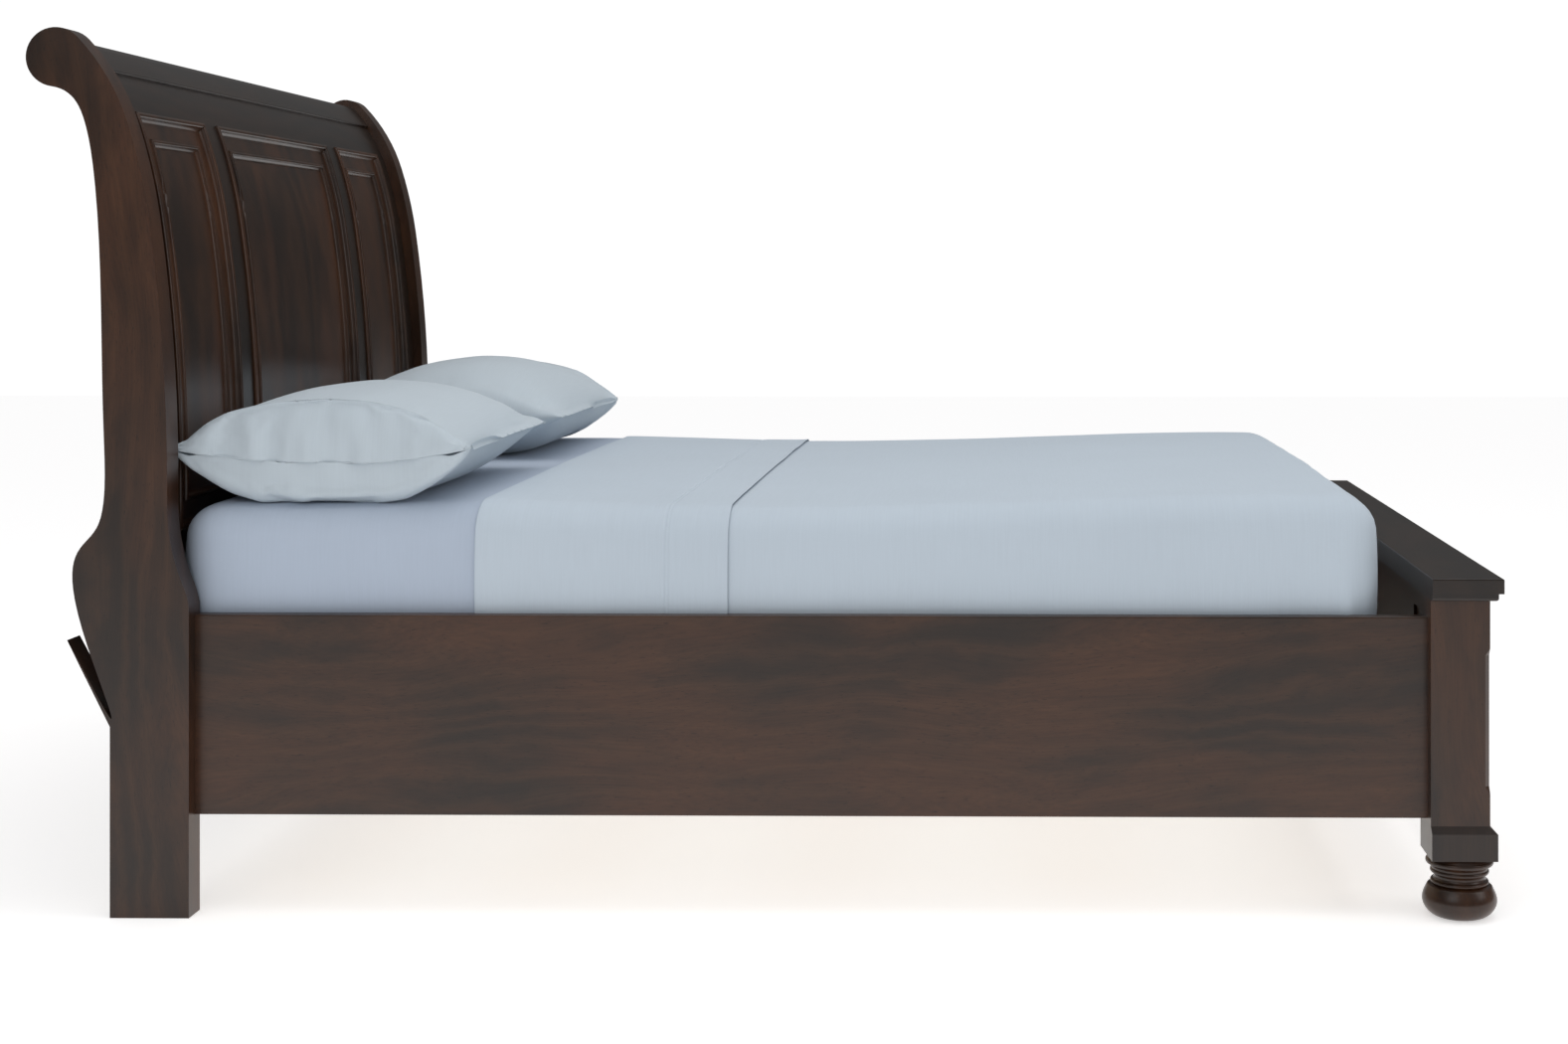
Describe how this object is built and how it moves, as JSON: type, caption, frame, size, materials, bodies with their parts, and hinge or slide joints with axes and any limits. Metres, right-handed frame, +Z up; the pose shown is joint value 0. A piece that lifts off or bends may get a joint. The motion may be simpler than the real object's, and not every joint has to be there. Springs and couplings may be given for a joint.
{
  "type": "sleigh bed",
  "caption": "Queen-size sleigh bed with a scrolled, panelled headboard, a low capped footboard on bun feet, slats, box spring, mattress, sheets and pillows.",
  "frame": {"origin": "on the floor, under the middle of the whole bed's box", "axes": "+X towards the foot, +Y across the bed towards its right-hand side as seen from the foot, +Z up"},
  "size_m": [2.4679, 1.681, 1.4927],
  "materials": {
    "stained_wood": "dark cherry stain under a satin lacquer",
    "panel_wood": "dark cherry stain under a satin lacquer",
    "bare_softwood": "planed, unfinished",
    "zinc_steel": "zinc plated",
    "screw_steel": "zinc plated",
    "glide_plastic": "moulded",
    "ticking": "woven ticking",
    "mattress_fabric": "quilted knit",
    "fitted_sheet_cotton": "smooth percale",
    "top_sheet_cotton": "smooth percale",
    "coverlet_cotton": "smooth sateen",
    "pillowcase_cotton": "smooth percale"
  },
  "bodies": {
    "bedstead": {"bun_foot_left": "stained_wood", "bun_foot_right": "stained_wood", "center_leg_1": "bare_softwood", "center_leg_2": "bare_softwood", "center_leg_3": "bare_softwood", "center_leg_4": "bare_softwood", "center_leg_5": "bare_softwood", "crest_rail": "stained_wood", "foot_bottom_rail": "stained_wood", "foot_cap": "stained_wood", "foot_muntin_left": "stained_wood", "foot_muntin_right": "stained_wood", "foot_panel_center": "panel_wood", "foot_panel_left": "panel_wood", "foot_panel_right": "panel_wood", "foot_plinth_left": "stained_wood", "foot_plinth_right": "stained_wood", "foot_post_left": "stained_wood", "foot_post_right": "stained_wood", "foot_subcap": "stained_wood", "foot_top_rail": "stained_wood", "foot_trim": "stained_wood", "frieze_rail": "stained_wood", "head_bottom_rail": "stained_wood", "head_lower_panel": "panel_wood", "head_muntin_left": "stained_wood", "head_muntin_right": "stained_wood", "head_panel_center": "panel_wood", "head_panel_left": "panel_wood", "head_panel_right": "panel_wood", "head_post_left": "stained_wood", "head_post_right": "stained_wood", "head_stile_left": "stained_wood", "head_stile_right": "stained_wood", "head_stretcher": "stained_wood", "head_trim_center": "stained_wood", "head_trim_left": "stained_wood", "head_trim_right": "stained_wood", "hook_plates": "zinc_steel", "keeper_plates": "zinc_steel", "leg_glides": "glide_plastic", "plate_screws": "screw_steel", "side_rail_left": "stained_wood", "side_rail_right": "stained_wood", "slat_1": "bare_softwood", "slat_2": "bare_softwood", "slat_3": "bare_softwood", "slat_4": "bare_softwood", "slat_5": "bare_softwood", "slat_cleat_left": "bare_softwood", "slat_cleat_right": "bare_softwood", "support_screws": "screw_steel"},
    "box_spring": {"box_spring": "ticking"},
    "mattress": {"mattress": "mattress_fabric", "fitted_sheet": "fitted_sheet_cotton", "top_sheet": "top_sheet_cotton", "coverlet": "coverlet_cotton"},
    "pillow_left": {"pillow_left": "pillowcase_cotton"},
    "pillow_right": {"pillow_right": "pillowcase_cotton"}
  },
  "joints": [
    {"name": "box_spring_lift", "type": "slide", "parent": "bedstead", "child": "box_spring", "axis": [0, 0, 1], "range_m": [0, 0.3]},
    {"name": "mattress_lift", "type": "slide", "parent": "box_spring", "child": "mattress", "axis": [0, 0, 1], "range_m": [0, 0.3]},
    {"name": "pillow_left_lift", "type": "slide", "parent": "mattress", "child": "pillow_left", "axis": [0, 0, 1], "range_m": [0, 0.25]},
    {"name": "pillow_right_lift", "type": "slide", "parent": "mattress", "child": "pillow_right", "axis": [0, 0, 1], "range_m": [0, 0.25]}
  ]
}
